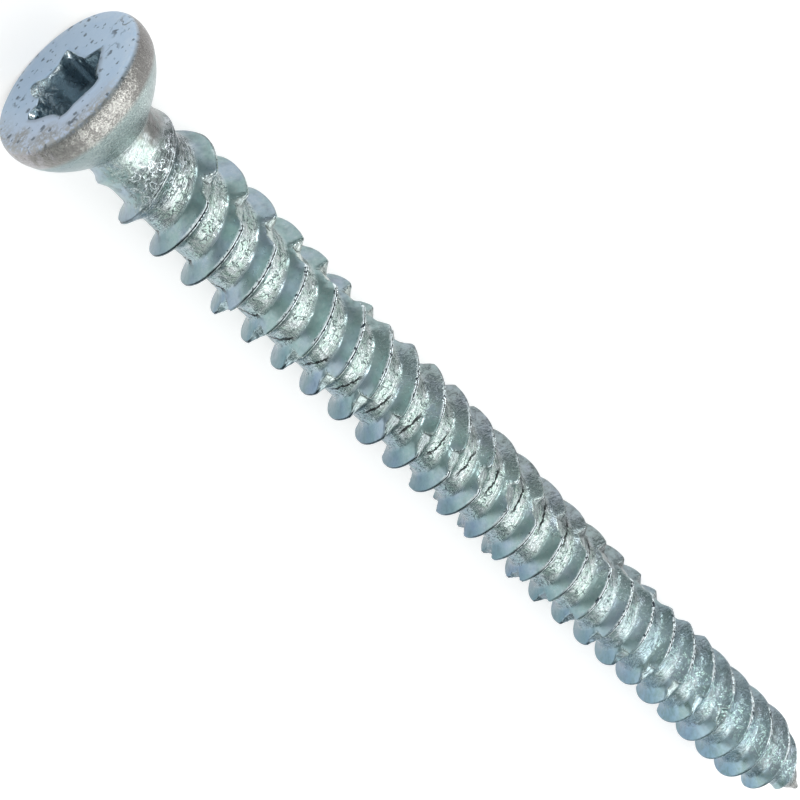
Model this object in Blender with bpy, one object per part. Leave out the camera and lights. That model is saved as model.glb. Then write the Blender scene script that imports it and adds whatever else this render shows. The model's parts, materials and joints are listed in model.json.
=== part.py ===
"""Concrete screw: one zinc-plated steel body with a countersunk six-lobe head and a two-start thread.

The screw lies at rest on the surface z = 0. The rim of its head and the last full crest of its thread
touch the surface, and the length runs along X with the tip towards +X.
While the body is built, s is the distance from the face of the head along the axis, and phi is the
azimuth around it, measured from the side that faces up and turning towards -Y.
"""

import math

import bmesh
import bpy
from mathutils import Vector

MM = 0.001

# Overall size
LENGTH = 92.0 * MM
SIDES = 30

# Head: flat face, widest part of the rim, and the rounded underside that ends at the neck
RIM_R = 5.48 * MM
FACE_EDGE = 0.33 * MM
RIM_AT = 0.80 * MM
RIM_STEPS = 3
NECK_R = 2.66 * MM
NECK_END = 4.60 * MM
UNDERSIDE_POWER = 1.85
UNDERSIDE_STEPS = 9

# Six-lobe recess, nominal 30 size
LOBES = 6
LOBE_TIP_R = 2.84 * MM
LOBE_VALLEY_R = 1.98 * MM
LOBE_ARC_R = 0.46 * MM
VALLEY_ARC_R = 1.20 * MM
LOBE_POINTS = 8
LOBE_FIRST_DEG = 30.0
MOUTH_DEPTH = 0.50 * MM
RECESS_WALL_END = 2.90 * MM
RECESS_DEPTH = 3.30 * MM
RECESS_TAPER = 0.975
# Outline of the mouth, worn by the driver: azimuth in degrees, share of the lobes' radius
MOUTH_OUTLINE = (
    (0.0, 1.02),
    (10.0, 1.01),
    (22.0, 1.11),
    (30.0, 1.10),
    (43.0, 0.91),
    (57.0, 0.88),
    (72.0, 0.96),
    (90.0, 1.07),
    (100.0, 1.00),
    (105.0, 0.72),
    (119.0, 0.68),
    (138.0, 0.97),
    (150.0, 1.11),
    (158.0, 1.02),
    (167.0, 0.73),
    (180.0, 0.70),
    (191.0, 0.72),
    (200.0, 0.88),
    (210.0, 1.09),
    (220.0, 0.92),
    (237.0, 0.72),
    (262.0, 0.66),
    (269.0, 0.79),
    (277.0, 1.11),
    (289.0, 0.99),
    (306.0, 0.95),
    (322.0, 1.01),
    (331.0, 1.15),
    (341.0, 1.13),
    (352.0, 1.04),
    (360.0, 1.02),
)

# Core of the shank
CORE_HEAD_R = 2.58 * MM
CORE_HEAD_AT = 9.0 * MM
CORE_TIP_R = 2.46 * MM

# Thread: two starts, right-hand; its crest loses height over the first part of the shank
STARTS = 2
PITCH = 3.10 * MM
LEAD = STARTS * PITCH
CREST_PHASE_DEG = 93.3
CREST_HEAD_R = 3.82 * MM
CREST_HEAD_AT = 10.0 * MM
CREST_R = 3.44 * MM
CREST_R_AT = 60.0 * MM
CREST_FLAT = 0.20 * MM
FLANK_MID = 0.42 * MM
FLANK_FOOT = 1.00 * MM
FLANK_MID_SHARE = 0.47
# Distance from the neck, share of the full height: a low ridge first, then a quick rise
RUN_IN = (
    (0.0, 0.0),
    (0.8 * MM, 0.05),
    (1.7 * MM, 0.27),
    (3.5 * MM, 0.36),
    (4.7 * MM, 0.92),
    (5.6 * MM, 1.0),
)

# Saw-tooth notches in the crest: three lines of them, each turning slowly against the thread
# Azimuth at the face in degrees, clear length at the head end, clear length at the tip end
NOTCH_LINES = (
    (-4.0, 9.5 * MM, 16.0 * MM),
    (117.0, 16.0 * MM, 20.0 * MM),
    (237.0, 9.5 * MM, 16.0 * MM),
)
NOTCH_DRIFT_DEG = -10.0
NOTCH_FLOOR = 0.35
NOTCH_DROP_DEG = 7.0
NOTCH_RAMP_DEG = 25.0
NOTCH_LIP = 0.08
NOTCH_LIP_DEG = 50.0

# Tip: distances back from its end
THREAD_CLEAR = 1.40 * MM
THREAD_CLEAR_R = 0.70 * MM
CREST_TAPER = ((5.50 * MM, 2.90 * MM), (2.30 * MM, 1.28 * MM))
CREST_TAPER_LENGTH = 8.0 * MM
CORE_CONE_LENGTH = 7.4 * MM
CORE_CONE_MID = (3.40 * MM, 1.35 * MM)
NIB_LENGTH = 0.45 * MM
NIB_R = 0.30 * MM

# The head sits off the shank's axis, and the shank bows a little behind it
HEAD_OFFSET = 0.22 * MM
HEAD_OFFSET_FADE = 1.66 * MM
BOW = 0.14 * MM
BOW_END = 36.0 * MM

ZINC = (0.60, 0.65, 0.69, 1.0)
EPS = 0.06 * MM

THREAD_END = LENGTH - THREAD_CLEAR
# Distance from the face, radius
CREST_PROFILE = (
    (CREST_HEAD_AT, CREST_HEAD_R),
    (CREST_R_AT, CREST_R),
    (LENGTH - CREST_TAPER_LENGTH, CREST_R),
    *((LENGTH - back, radius) for back, radius in CREST_TAPER),
    (THREAD_END, THREAD_CLEAR_R),
)
CORE_PROFILE = (
    (NECK_END, NECK_R),
    (CORE_HEAD_AT, CORE_HEAD_R),
    (LENGTH - CORE_CONE_LENGTH, CORE_TIP_R),
    (LENGTH - CORE_CONE_MID[0], CORE_CONE_MID[1]),
    (THREAD_END, THREAD_CLEAR_R),
)
# Rows of one pitch: offset from the crest's centre, share of the height
THREAD_ROWS = (
    (-FLANK_FOOT, 0.0),
    (-FLANK_MID, FLANK_MID_SHARE),
    (-CREST_FLAT / 2.0, 1.0),
    (CREST_FLAT / 2.0, 1.0),
    (FLANK_MID, FLANK_MID_SHARE),
    (FLANK_FOOT, 0.0),
)


def interpolate(table, s):
    """Return the value that a table of (distance, value) pairs gives at s."""
    if s <= table[0][0]:
        return table[0][1]
    for (s0, v0), (s1, v1) in zip(table, table[1:]):
        if s <= s1:
            return v0 + (v1 - v0) * (s - s0) / (s1 - s0)
    return table[-1][1]


def head_profile():
    """Return the (distance, radius) pairs of the head's outline, from its flat face to the neck."""
    profile = []
    for k in range(RIM_STEPS + 1):
        angle = math.pi / 2.0 * k / RIM_STEPS
        radius = RIM_R - FACE_EDGE * (1.0 - math.sin(angle))
        profile.append((RIM_AT * (1.0 - math.cos(angle)), radius))
    for k in range(1, UNDERSIDE_STEPS + 1):
        t = k / UNDERSIDE_STEPS
        radius = NECK_R + (RIM_R - NECK_R) * (1.0 - t ** UNDERSIDE_POWER)
        profile.append((RIM_AT + (NECK_END - RIM_AT) * t, radius))
    return profile


def centre_offset(s):
    """Return how far the section at s lies towards -Y of the axis through the recess and the tip."""
    if s < NECK_END:
        return -HEAD_OFFSET * min(1.0, (NECK_END - s) / (NECK_END - HEAD_OFFSET_FADE))
    if s < BOW_END:
        return BOW * math.sin(math.pi * (s - NECK_END) / (BOW_END - NECK_END))
    return 0.0


def column_azimuth(j):
    """Return the azimuth of a column, half a step round so that a facet of the rim faces down."""
    return 2.0 * math.pi * (j + 0.5) / SIDES


def local_point(s, r, phi, centred=False):
    """Return a point of the unplaced screw: s along X, azimuth from +Z towards -Y."""
    offset = 0.0 if centred else centre_offset(s)
    return Vector((s, -r * math.sin(phi) - offset, r * math.cos(phi)))


def notch_cut(s, phi):
    """Return the share of the thread's height that the notches leave at s and phi."""
    ramp_end = NOTCH_DROP_DEG + NOTCH_RAMP_DEG
    full = 1.0 + NOTCH_LIP
    for phase, head_clear, tip_clear in NOTCH_LINES:
        if not head_clear <= s <= LENGTH - tip_clear:
            continue
        line = phase + NOTCH_DRIFT_DEG * s / PITCH
        delta = (math.degrees(phi) - line + NOTCH_DROP_DEG) % 360.0
        if delta < NOTCH_DROP_DEG:
            return 1.0 - (1.0 - NOTCH_FLOOR) * delta / NOTCH_DROP_DEG
        if delta < ramp_end:
            return NOTCH_FLOOR + (full - NOTCH_FLOOR) * (delta - NOTCH_DROP_DEG) / NOTCH_RAMP_DEG
        if delta < ramp_end + NOTCH_LIP_DEG:
            return full - NOTCH_LIP * (delta - ramp_end) / NOTCH_LIP_DEG
    return 1.0


def thread_radius(s, phi, share):
    """Return the radius of a row of the thread whose height is the given share of the full one."""
    core = interpolate(CORE_PROFILE, s)
    height = max(0.0, interpolate(CREST_PROFILE, s) - core)
    height *= interpolate(RUN_IN, s - NECK_END)
    cut = notch_cut(s, phi)
    return core + height * (share * cut if cut > 1.0 else min(share, cut))


def lobe_contour():
    """Return the (radius, azimuth) points of the recess's wall, with round lobes and round valleys."""
    points = []
    half = math.pi / LOBES
    lobe_centre = LOBE_TIP_R - LOBE_ARC_R
    valley_centre = LOBE_VALLEY_R + VALLEY_ARC_R
    for lobe in range(LOBES):
        middle = math.radians(LOBE_FIRST_DEG) + lobe * 2.0 * half
        for k in range(LOBE_POINTS):
            turn = (-1.0 + 2.0 * k / LOBE_POINTS) * half
            radius = LOBE_TIP_R
            sine = lobe_centre * math.sin(abs(turn))
            if sine < LOBE_ARC_R:
                radius = lobe_centre * math.cos(turn) + math.sqrt(LOBE_ARC_R ** 2 - sine ** 2)
            away = half - abs(turn)
            sine = valley_centre * math.sin(away)
            if sine < VALLEY_ARC_R:
                on_valley = valley_centre * math.cos(away) - math.sqrt(VALLEY_ARC_R ** 2 - sine ** 2)
                radius = min(radius, on_valley)
            points.append((radius, middle + turn))
    return points


def add_ring(bm, s, points, centred=False):
    """Add one vertex for each (radius, azimuth) at distance s and return them."""
    return [bm.verts.new(local_point(s, r, phi, centred)) for r, phi in points]


def bridge(bm, lower, upper):
    """Join two rings with the same number of vertices by quads."""
    count = len(lower)
    for j in range(count):
        k = (j + 1) % count
        bm.faces.new((lower[j], lower[k], upper[k], upper[j]))


def fan(bm, ring, apex):
    """Close a ring with triangles to one vertex."""
    count = len(ring)
    for j in range(count):
        bm.faces.new((ring[j], ring[(j + 1) % count], apex))


def zip_rings(bm, inner, inner_angles, outer, outer_angles):
    """Fill the flat ring between two loops of different counts, in order of azimuth."""
    shift = min(range(len(outer)), key=lambda k: abs(outer_angles[k] - inner_angles[0]))
    outer = outer[shift:] + outer[:shift]
    outer_angles = [a for a in outer_angles[shift:]] + [a + 2.0 * math.pi for a in outer_angles[:shift]]
    inner_angles = list(inner_angles) + [inner_angles[0] + 2.0 * math.pi]
    outer_angles = list(outer_angles) + [outer_angles[0] + 2.0 * math.pi]
    i = 0
    o = 0
    while i < len(inner) or o < len(outer):
        a = inner[i % len(inner)]
        b = outer[o % len(outer)]
        next_inner = inner_angles[i + 1] if i < len(inner) else math.inf
        next_outer = outer_angles[o + 1] if o < len(outer) else math.inf
        if next_inner <= next_outer:
            bm.faces.new((a, inner[(i + 1) % len(inner)], b))
            i += 1
        else:
            bm.faces.new((a, outer[(o + 1) % len(outer)], b))
            o += 1


def add_recess(bm, rim):
    """Add the face of the head and the six-lobe recess in it; rim is the edge of the flat face."""
    wall_points = lobe_contour()
    mouth_points = [
        (LOBE_TIP_R * interpolate(MOUTH_OUTLINE, math.degrees(phi)), phi) for r, phi in wall_points
    ]
    deep_points = [(r * RECESS_TAPER, phi) for r, phi in wall_points]
    mouth = add_ring(bm, 0.0, mouth_points, centred=True)
    wall = add_ring(bm, MOUTH_DEPTH, wall_points, centred=True)
    deep = add_ring(bm, RECESS_WALL_END, deep_points, centred=True)
    floor_apex = bm.verts.new(local_point(RECESS_DEPTH, 0.0, 0.0, centred=True))
    bridge(bm, mouth, wall)
    bridge(bm, wall, deep)
    fan(bm, deep, floor_apex)
    inner_angles = [phi for r, phi in mouth_points]
    outer_angles = [column_azimuth(j) for j in range(SIDES)]
    zip_rings(bm, mouth, inner_angles, rim, outer_angles)


def add_thread(bm, start, end):
    """Add the helical skin of the thread between the ring at the neck and the ring at the tip."""
    rows = len(THREAD_ROWS)
    grid = {}

    def vertex(j, k):
        """Return the vertex of column j on helical row k; past the ends it is the end ring's own."""
        if j == SIDES:
            return vertex(0, k + STARTS * rows)
        offset, share = THREAD_ROWS[k % rows]
        phi = column_azimuth(j)
        turn = (math.degrees(phi) - CREST_PHASE_DEG) / 360.0
        s = (k // rows) * PITCH + offset + LEAD * turn
        if s <= NECK_END + EPS:
            return start[j]
        if s >= THREAD_END - EPS:
            return end[j]
        if (j, k) not in grid:
            grid[(j, k)] = bm.verts.new(local_point(s, thread_radius(s, phi, share), phi))
        return grid[(j, k)]

    first = -2 * STARTS * rows
    last = (int(THREAD_END / PITCH) + 3 * STARTS) * rows
    for j in range(SIDES):
        for k in range(first, last):
            corners = (vertex(j, k), vertex(j + 1, k), vertex(j + 1, k + 1), vertex(j, k + 1))
            loop = []
            for corner in corners:
                if corner not in loop:
                    loop.append(corner)
            if len(loop) >= 3:
                bm.faces.new(loop)


def rest_tilt(points):
    """Return the angle by which the tip end drops until the rim and the thread touch one plane."""
    head = [p for p in points if p.x < NECK_END]
    shank = [p for p in points if p.x > LENGTH / 2.0]

    def lowest(group, angle):
        return min(p.z * math.cos(angle) - p.x * math.sin(angle) for p in group)

    low = 0.0
    high = math.radians(5.0)
    for _ in range(60):
        middle = (low + high) / 2.0
        if lowest(shank, middle) > lowest(head, middle):
            low = middle
        else:
            high = middle
    return (low + high) / 2.0


def build_screw():
    """Return the mesh of the whole screw, lying at rest with its origin at the middle of its base."""
    bm = bmesh.new()
    columns = [column_azimuth(j) for j in range(SIDES)]
    rings = [add_ring(bm, s, [(r, phi) for phi in columns]) for s, r in head_profile()]
    for lower, upper in zip(rings, rings[1:]):
        bridge(bm, lower, upper)
    add_recess(bm, rings[0])
    tip_ring = add_ring(bm, THREAD_END, [(THREAD_CLEAR_R, phi) for phi in columns])
    add_thread(bm, rings[-1], tip_ring)
    shoulder = add_ring(bm, LENGTH - NIB_LENGTH, [(NIB_R, phi) for phi in columns])
    bridge(bm, tip_ring, shoulder)
    fan(bm, shoulder, bm.verts.new(local_point(LENGTH, 0.0, 0.0)))

    bmesh.ops.triangulate(bm, faces=bm.faces[:], quad_method="BEAUTY", ngon_method="BEAUTY")
    bmesh.ops.recalc_face_normals(bm, faces=bm.faces[:])

    angle = rest_tilt([v.co.copy() for v in bm.verts])
    for v in bm.verts:
        x = v.co.x * math.cos(angle) + v.co.z * math.sin(angle)
        z = v.co.z * math.cos(angle) - v.co.x * math.sin(angle)
        v.co = Vector((x, v.co.y, z))
    xs = [v.co.x for v in bm.verts]
    ys = [v.co.y for v in bm.verts]
    base = min(v.co.z for v in bm.verts)
    shift = Vector(((min(xs) + max(xs)) / 2.0, (min(ys) + max(ys)) / 2.0, base))
    for v in bm.verts:
        v.co -= shift

    mesh = bpy.data.meshes.new("concrete_screw")
    bm.to_mesh(mesh)
    bm.free()
    return mesh


def zinc_material():
    """Return the bright zinc plating."""
    material = bpy.data.materials.new("zinc_plated_steel")
    material.use_nodes = True
    shader = material.node_tree.nodes["Principled BSDF"]
    shader.inputs["Base Color"].default_value = ZINC
    shader.inputs["Metallic"].default_value = 1.0
    shader.inputs["Roughness"].default_value = 0.35
    return material


def main():
    """Clear the scene and build the screw."""
    for obj in list(bpy.data.objects):
        bpy.data.objects.remove(obj)
    mesh = build_screw()
    mesh.materials.append(zinc_material())
    for polygon in mesh.polygons:
        polygon.use_smooth = True
    mesh.set_sharp_from_angle(angle=math.radians(35.0))
    screw = bpy.data.objects.new("concrete_screw", mesh)
    bpy.context.collection.objects.link(screw)


main()
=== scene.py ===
"""Concrete screw: the finished look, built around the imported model.

The screw's own frame is used while it is built: s is the distance from the face of the head along the
axis, and the azimuth turns round the axis, from the side that faces up towards the row's -Y. PLACE puts
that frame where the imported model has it.
"""

import json
import math
from types import SimpleNamespace

import bmesh
import bpy
from mathutils import Matrix, Vector, noise


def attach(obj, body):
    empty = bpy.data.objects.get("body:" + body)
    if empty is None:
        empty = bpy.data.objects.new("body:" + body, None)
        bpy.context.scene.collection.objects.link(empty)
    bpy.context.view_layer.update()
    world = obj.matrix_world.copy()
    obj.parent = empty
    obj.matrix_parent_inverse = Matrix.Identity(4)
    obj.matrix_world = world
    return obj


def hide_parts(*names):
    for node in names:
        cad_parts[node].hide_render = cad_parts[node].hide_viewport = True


bl_info = {
    "name": "Concrete screw",
    "version": (1, 0, 0),
    "blender": (4, 5, 0),
    "location": "View3D > Sidebar > Concrete screw",
    "description": "Builds a zinc-plated concrete screw around its packed model",
    "category": "Add Mesh",
}

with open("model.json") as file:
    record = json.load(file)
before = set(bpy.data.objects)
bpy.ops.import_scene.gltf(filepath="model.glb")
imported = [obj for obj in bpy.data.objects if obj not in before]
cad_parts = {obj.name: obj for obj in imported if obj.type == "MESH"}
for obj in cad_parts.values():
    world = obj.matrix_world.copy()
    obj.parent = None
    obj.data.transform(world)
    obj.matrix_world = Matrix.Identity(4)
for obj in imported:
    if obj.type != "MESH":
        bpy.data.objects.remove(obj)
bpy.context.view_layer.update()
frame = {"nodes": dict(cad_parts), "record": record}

MM = 0.001
NODE = "concrete_screw"

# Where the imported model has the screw: its axis from the head's face, its tip, and what lies between
FACE_MOUNT = frame["record"]["mounts"][0]
AXIS = -Vector(FACE_MOUNT["axis"])
UP = (Vector((0.0, 0.0, 1.0)) - AXIS * AXIS.z).normalized()
SIDE = AXIS.cross(UP)
TIP = max((v.co.copy() for v in frame["nodes"][NODE].data.vertices), key=lambda co: co.x)
LENGTH = (TIP - Vector(FACE_MOUNT["pos_m"])).dot(AXIS)
FACE_CENTRE = TIP - AXIS * LENGTH
PLACE = Matrix.Translation(FACE_CENTRE) @ Matrix((AXIS, -SIDE, UP)).transposed().to_4x4()

COLUMNS = 144

# Head
RIM_AT = 0.80 * MM
NECK_END = 4.60 * MM
UNDERSIDE_POWER = 1.85
RIM_STEPS = 10
# The edge of the face is rounder on the side that faces up
EDGE_WEAR = 0.24 * MM
UNDERSIDE_STEPS = 26
FACE_RINGS = 6
# Grain on the head's side: height and size. It fades at the face and at the neck
HEAD_GRAINS = ((0.012 * MM, 0.32 * MM), (0.010 * MM, 1.1 * MM))
HEAD_GRAIN_FADE = (0.4 * MM, 0.6 * MM)

# Marks on the face, in millimetres across (towards the row's -Y) and up: centre and radius
FACE_SCRATCHES = (((-4.75, 0.3), 1.0), ((-3.3, 1.6), 0.7), ((1.2, 4.2), 0.6), ((2.6, -2.6), 0.6))
FACE_STAINS = (((4.1, 0.9), 1.0), ((3.0, 3.2), 1.3))

# Recess
LOBES = 6
LOBE_TIP_R = 2.84 * MM
LOBE_VALLEY_R = 1.98 * MM
LOBE_ARC_R = 0.46 * MM
VALLEY_ARC_R = 1.20 * MM
LOBE_FIRST_DEG = 30.0
# Outline of the mouth, worn by the driver: azimuth in degrees, share of the lobes' radius
MOUTH_OUTLINE = (
    (0.0, 1.02), (10.0, 1.01), (22.0, 1.11), (30.0, 1.10), (43.0, 0.91), (57.0, 0.88), (72.0, 0.96),
    (90.0, 1.07), (100.0, 1.00), (105.0, 0.72), (119.0, 0.68), (138.0, 0.97), (150.0, 1.11), (158.0, 1.02),
    (167.0, 0.73), (180.0, 0.70), (191.0, 0.72), (200.0, 0.88), (210.0, 1.09), (220.0, 0.92), (237.0, 0.72),
    (262.0, 0.66), (269.0, 0.79), (277.0, 1.11), (289.0, 0.99), (306.0, 0.95), (322.0, 1.01), (331.0, 1.15),
    (341.0, 1.13), (352.0, 1.04), (360.0, 1.02),
)
# Depth of each ring of the recess in millimetres, how far it has left the mouth's outline for the wall's
RECESS_RINGS = (
    (0.00, 0.0), (0.03, 0.02), (0.09, 0.10), (0.20, 0.35), (0.34, 0.70), (0.50, 1.0), (1.10, 1.0),
    (1.70, 1.0), (2.30, 1.0), (2.82, 1.0),
)
MOUTH_RAGGED = 0.13 * MM
MOUTH_RAGGED_SIZE = 0.30 * MM
# The ragged edge starts at this depth in millimetres and has faded at the second
MOUTH_RAGGED_DEPTHS = (0.15, 1.2)
RECESS_FLOOR = 2.90 * MM
RECESS_DEPTH = 3.30 * MM
RECESS_TAPER = 0.975
# Rings of the recess's floor, as shares of its radius
FLOOR_RINGS = (1.0, 0.7, 0.4, 0.15)
# The recess's finish starts this deep
RECESS_FINISH_AT = 0.02 * MM

# Thread
STARTS = 2
CREST_PHASE_DEG = 93.3
CREST_HEAD_AT = 10.0 * MM
CREST_R_AT = 60.0 * MM
CORE_HEAD_AT = 9.0 * MM
CREST_FLAT = 0.20 * MM
FLANK_WIDTH = 0.90 * MM
FLANK_POWER = 1.70
SEAM_WIDTH = 0.075 * MM
SEAM_DEPTH = 0.10
# Places of the rows between a crest and the root's middle, as shares of that distance
ROW_PLACES = (0.0, 0.026, 0.050, 0.076, 0.104, 0.175, 0.28, 0.42, 0.60, 0.79, 1.0)
ROWS_FOR_EACH_PITCH = 2 * (len(ROW_PLACES) - 1)
# Distance from the neck, share of the full height
RUN_IN = (
    (0.0, 0.0), (0.8 * MM, 0.05), (1.7 * MM, 0.27), (3.5 * MM, 0.36), (4.7 * MM, 0.92), (5.6 * MM, 1.0),
)
# Azimuth at the face in degrees, clear length at the head end, clear length at the tip end
NOTCH_LINES = ((-4.0, 9.5 * MM, 16.0 * MM), (117.0, 16.0 * MM, 20.0 * MM), (237.0, 9.5 * MM, 16.0 * MM))
NOTCH_DRIFT_DEG = -10.0
NOTCH_DROP_DEG = 7.0
NOTCH_RAMP_DEG = 27.0
NOTCH_FLAT_DEG = 17.0
NOTCH_FLAT_RISE = 0.22
NOTCH_WORN_DEG = 25.0
NOTCH_WORN = ((0.0, 0.0), (8.0, 1.0), (NOTCH_WORN_DEG, 1.0), (NOTCH_WORN_DEG + 1.0, 0.0))
NOTCH_LIP = 0.08
NOTCH_LIP_DEG = 50.0
# A fold runs slantwise through each root beside one line of notches, and turns along the root further
# from the head: its middle in degrees from the notch, its slant in degrees for each pitch, and its width
FOLD_LINE = 1
FOLD_FROM = 7.5 * MM
FOLD_MIDDLE = ((18.0 * MM, 12.0), (34.0 * MM, 6.0))
FOLD_SLANT = ((18.0 * MM, -80.0), (34.0 * MM, -210.0))
FOLD_NARROWS = ((18.0 * MM, 0.75), (34.0 * MM, 0.40))
FOLD_PLACE = 0.56
FOLD_REACH_DEG = 30.0
FOLD_WOBBLE_DEG = 16.0
FOLD_HALF_DEG = 6.0
# Patterns on the skin, by scale for each millimetre, detail and what is added to the seed: the two sizes of
# dents, the gaps in the crest's seam and the wobble of the folds
DENT_PATTERNS = ((1.3, 1.0, 0.0), (3.4, 2.0, 3.0))
SEAM_PATTERN = (1.1, 2.0, 5.0)
WOBBLE_PATTERN = (1.4, 2.0, 9.0)

# Tip: distances back from its end
THREAD_CLEAR = 1.40 * MM
THREAD_CLEAR_R = 0.70 * MM
CREST_TAPER = ((8.0 * MM, None), (5.50 * MM, 2.90 * MM), (2.30 * MM, 1.28 * MM))
CORE_CONE_LENGTH = 7.4 * MM
CORE_CONE_MID = (3.40 * MM, 1.35 * MM)
# Nib, in millimetres: distance back from the end, radius
NIB_PROFILE = (
    (1.20, 0.60), (0.95, 0.48), (0.70, 0.38), (0.45, 0.30), (0.28, 0.24), (0.14, 0.17), (0.04, 0.08),
)

# The head sits off the shank's axis, and the shank bows a little behind it
HEAD_OFFSET = 0.22 * MM
HEAD_OFFSET_FADE = 1.66 * MM
BOW = 0.14 * MM
BOW_END = 36.0 * MM

MERGE = 0.002 * MM

# The softbox reaches lower on the +Y side; its soft edges, and how far it reaches back over the head
SOFTBOX_LEAN = 0.23
SOFTBOX_EDGE = (0.22, 0.36)
SOFTBOX_SIDE = (-0.05, 0.35)

# Lamps in metres and watts. The small ones draw the edges: along the axis, up, and towards the row's -Y
OVERHEAD_SPOT = (0.27, 0.05, 0.42)
OVERHEAD_SIZE = (0.78, 0.20)
OVERHEAD_POWER = 0.74
EDGE_SPOTS = ((-0.13, 0.25, -0.34), (-0.18, 0.43, 0.04))
EDGE_SIZE = (0.10, 0.10)
EDGE_POWER = 0.24

# What the camera and reflections see of the floor is this much brighter, so that it comes out white
FLOOR_GLOW = 0.42
FLOOR_HALF = 2.0

# Height of the finest relief, which only the finish has, and what each pattern adds to it on the thread
RELIEF = 0.20 * MM
RELIEF_SHARES = (("mottle", 0.34), ("specks", 0.16), ("streaks", 0.20))
CRACK_DEPTH = 0.15
FOLD_RELIEF = 0.50

# Patterns of the plating: scale for each millimetre, detail, roughness and seed
PATTERNS = {
    "clouds": (0.45, 3.0, 0.5, 1.0),
    "mottle": (1.9, 4.0, 0.6, 2.0),
    "specks": (4.2, 3.0, 0.7, 3.0),
    "grain": (9.0, 2.0, 0.7, 4.0),
    "flakes": (2.2, 2.0, 0.5, 11.0),
    "beads": (4.6, 1.0, 0.5, 13.0),
    "wrinkles": (1.5, 3.0, 0.5, 31.0),
}
SCRATCH_PATTERN = (1.3, 2.0, 0.5, 21.0)
# Streaks follow the thread: scales away from the crest, across the axis and along it
STREAK_SCALES = (5.5, 0.8, 0.35)

# Roughness of the thread's flanks and roots, and of the head's face and side
THREAD_ROUGHNESS = (0.30, 0.15)
HEAD_ROUGHNESS = (0.34, 0.26)
UNEVEN_ROUGHNESS = 0.05

# Where one part of the plating gives way to the next, in millimetres from the face
SIDE_FROM = (0.05, 0.30)
UNDERSIDE_FROM = (1.5, 1.9)
THREAD_FROM = (4.3, 4.8)
NIB_FROM = (89.3, 90.3)

# Shares along the screw, by the distance from the face in millimetres. The notches' edge towards the head is
# bare all along, and this is the share of bare plating on the rest of each notch:
BARE_SHARE = ((9.0, 0.15), (15.0, 0.30), (18.0, 1.0), (27.0, 1.0), (32.0, 0.12))
# Painted shade on the +Y side
PLUS_Y_SHADE_SHARE = (
    (3.0, 0.6), (5.0, 1.0), (8.0, 1.0), (9.5, 0.20), (16.0, 0.30), (24.0, 0.60), (38.0, 1.0), (58.0, 1.0),
    (66.0, 0.75),
)
# Painted shade, darker and bluer, low on the -Y side, and the same again on the thread's lowest part
MINUS_Y_SHADE_SHARE = (
    (1.6, 0.0), (2.0, 0.7), (4.4, 0.5), (4.8, 0.0), (18.0, 0.0), (34.0, 0.75), (52.0, 0.70), (62.0, 0.45),
)
LOWEST_SHARE = ((8.4, 0.0), (9.4, 1.0), (62.0, 1.0))
# The roots' rough plating on the flanks of the +Y side
COARSE_TOP = ((24.0, 0.0), (34.0, 0.9), (62.0, 0.9), (70.0, 0.0))
# Painted shade on the neck, all round but for the band where its highlight falls, and darker towards the
# point
ENDS_DARKER = (
    (4.6, 0.40), (4.9, 0.08), (5.8, 0.08), (6.4, 0.38), (7.8, 0.34), (8.6, 0.0), (80.0, 0.0), (84.0, 0.45),
)
# Painted shade, brownish, on the +Y side of the neck, and bright wrinkles where the thread runs out on it
NECK_SHADE = ((4.5, 0.0), (4.7, 0.8), (5.6, 0.8), (6.1, 0.0))
NECK_WRINKLES = ((5.9, 0.0), (6.3, 1.0), (8.6, 1.0), (9.6, 0.0))

# Camera, in the screw's own frame: along the axis, up, and towards the row's -Y
PHOTO_SIZE_PX = 800
CAMERA_FOCUS_PX = 2316.8
CAMERA_SPOT = (-60.949 * MM, 124.876 * MM, 0.0)
CAMERA_RIGHT = (0.572596, 0.437935, -0.69307)
CAMERA_DOWN = (0.552105, 0.418963, 0.720868)
CAMERA_FORWARD = (0.606064, -0.795414, -0.00189)


def length_property(name, description, default):
    """Return a length for the panel, from its millimetres."""
    return bpy.props.FloatProperty(name=name, description=description, default=default * MM, unit="LENGTH")


def colour_property(name, description, default, most=1.0):
    """Return a colour for the panel."""
    return bpy.props.FloatVectorProperty(name=name, description=description, default=default,
                                         subtype="COLOR", size=3, min=0.0, max=most)


class HeadSizes(bpy.types.PropertyGroup):
    """Sizes of the head."""

    rim_radius: length_property("Rim radius", "Radius of the head at its widest", 5.48)
    face_edge: length_property("Face edge", "Width of the rounding between the flat face and the rim", 0.33)
    neck_radius: length_property("Neck radius", "Radius where the head ends", 2.66)


class ThreadSizes(bpy.types.PropertyGroup):
    """Sizes of the thread."""

    pitch: length_property("Crest spacing", "Distance from one crest to the next along the axis", 3.10)
    crest_radius: length_property("Crest radius", "Radius of the crest on the tip's half of the shank", 3.44)
    crest_head_radius: length_property("Crest radius at the head", "Radius of the first full crest", 3.82)
    core_radius: length_property("Core radius", "Radius of the core behind the neck", 2.58)
    core_tip_radius: length_property("Core radius at the point", "Core radius where the point starts", 2.46)
    notch_floor: bpy.props.FloatProperty(
        name="Notch floor", description="Share of the thread's height left at the foot of a notch",
        default=0.35, min=0.0, max=1.0, subtype="FACTOR")
    dent_depth: length_property("Dent depth", "Depth of the hammered dents in the thread's roots", 0.06)
    fold_depth: length_property("Fold depth", "Depth of the folds beside the notches", 0.09)
    seed: bpy.props.IntProperty(name="Seed", description="Picks the pattern of dents", default=7)


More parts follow.
